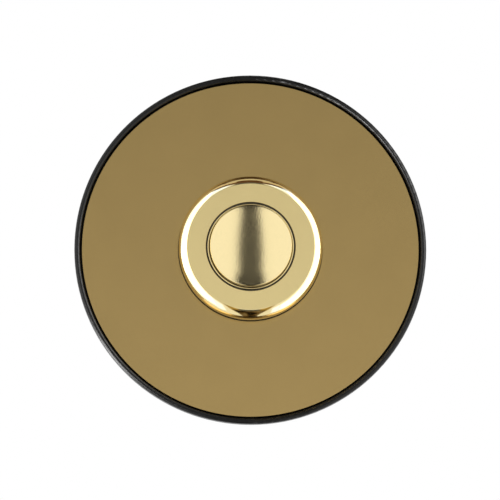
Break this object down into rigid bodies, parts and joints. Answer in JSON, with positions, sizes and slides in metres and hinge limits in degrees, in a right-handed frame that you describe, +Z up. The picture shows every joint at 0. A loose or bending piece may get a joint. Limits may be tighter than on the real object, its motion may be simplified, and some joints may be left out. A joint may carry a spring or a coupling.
{
  "type": "doorbell push button",
  "caption": "Round wall-mounted doorbell push: brass face plate recessed in a black base, raised polished collar and a sprung satin domed button that closes leaf contacts.",
  "frame": {"origin": "centre of the base's back face, which lies on the wall", "axes": "+Z up the wall, -Y out of the wall towards the visitor, +X to the right as seen from the front"},
  "size_m": [0.076, 0.0206, 0.076],
  "materials": {
    "moulding": "black moulding with a soft gloss",
    "plate_brass": "polished and lacquered, brown gold",
    "collar_brass": "mirror polished",
    "button_brass": "bead blasted satin",
    "contact_brass": "rolled strip, unpolished",
    "bronze": "phosphor bronze spring strip",
    "silver": "silver contact, slightly dull",
    "steel": "nickel-plated steel",
    "nylon": "natural nylon",
    "insulator": "brown laminated insulating board",
    "rubber": "black rubber",
    "fibre": "black fibre washer"
  },
  "bodies": {
    "housing": {"base": "moulding", "cable_grommet": "rubber", "plate_seal": "rubber", "face_plate": "plate_brass", "collar_washer": "fibre", "collar": "collar_brass", "guide_sleeve": "collar_brass", "insulator_disc": "insulator", "fixed_contact": "contact_brass", "fixed_contact_tip": "silver", "moving_contact": "bronze", "return_spring": "steel", "terminal_insert_left": "contact_brass", "terminal_insert_right": "contact_brass", "terminal_clamp_left": "steel", "terminal_clamp_right": "steel", "terminal_screw_left": "steel", "terminal_screw_right": "steel", "contact_rivet_left": "contact_brass", "contact_rivet_right": "contact_brass"},
    "button": {"button_cap": "button_brass", "plunger": "nylon", "moving_contact_tip": "silver"}
  },
  "joints": [
    {"name": "button_press", "type": "slide", "parent": "housing", "child": "button", "axis": [0, 1, 0], "range_m": [0, 0.0015], "stiffness_N_per_m": 300, "springref_m": -0.006, "deforming": ["return_spring", "moving_contact"]}
  ]
}
